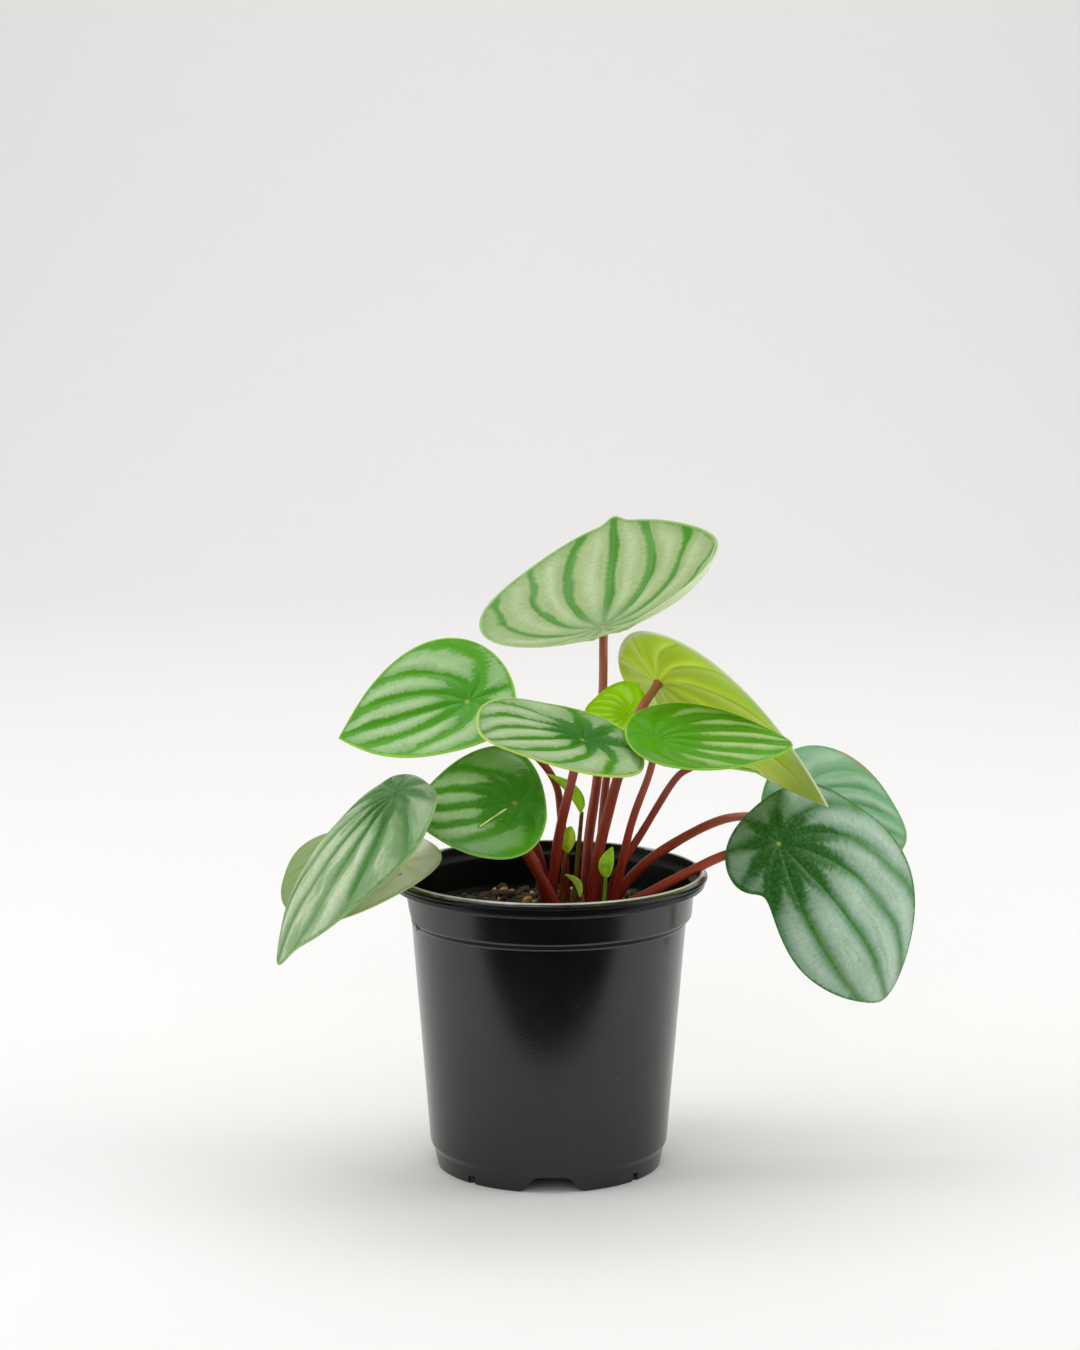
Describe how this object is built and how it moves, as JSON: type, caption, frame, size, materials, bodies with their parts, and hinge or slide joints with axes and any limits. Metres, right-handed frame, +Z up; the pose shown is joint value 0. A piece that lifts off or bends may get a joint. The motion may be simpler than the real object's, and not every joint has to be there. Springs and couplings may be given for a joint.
{
  "type": "potted peperomia",
  "caption": "Watermelon peperomia in a black nursery pot: striped oval leaves on long red stalks spreading from a crown in the soil.",
  "frame": {"origin": "centre of the pot's underside, on the surface it stands on", "axes": "+Z up along the pot's axis, -Y towards the front of the plant, +X to its right"},
  "size_m": [0.2218, 0.1523, 0.2188],
  "materials": {
    "pot_plastic": "thin black moulded plastic, satin outside and glossier on the lip",
    "soil": "damp dark potting mix with bark crumbs and a few pale grains",
    "crown": "dull brown-red woody stem",
    "stalk": "smooth satin brown-red, paler towards the blade",
    "leaf_pale": "satin, silvery green between dark green vein stripes",
    "leaf_green": "satin, silvery green between deep green vein stripes",
    "leaf_bluish": "satin, blue-white silver between dark green vein stripes",
    "leaf_lime": "satin yellow-green underside with raised pale veins",
    "shoot": "satin yellow-green new growth"
  },
  "bodies": {
    "root": {"pot": "pot_plastic", "soil": "soil", "crown": "crown", "stalk_top": "stalk", "stalk_left_upper": "stalk", "stalk_centre": "stalk", "stalk_left_middle": "stalk", "stalk_left_lower": "stalk", "stalk_left_low_back": "stalk", "stalk_right_underside": "stalk", "stalk_right_centre": "stalk", "stalk_young_back": "stalk", "stalk_right_lower": "stalk", "stalk_right_back": "stalk", "stalk_right_inner": "stalk", "leaf_top": "leaf_pale", "leaf_left_upper": "leaf_green", "leaf_centre": "leaf_pale", "leaf_left_middle": "leaf_green", "leaf_left_lower": "leaf_pale", "leaf_left_low_back": "leaf_pale", "leaf_right_underside": "leaf_lime", "leaf_right_centre": "leaf_green", "leaf_young_back": "leaf_lime", "leaf_right_lower": "leaf_bluish", "leaf_right_back": "leaf_bluish", "leaf_right_inner": "leaf_green", "tall_shoot": "shoot", "left_shoot": "shoot", "right_shoot": "shoot", "front_shoot": "shoot"}
  },
  "joints": []
}
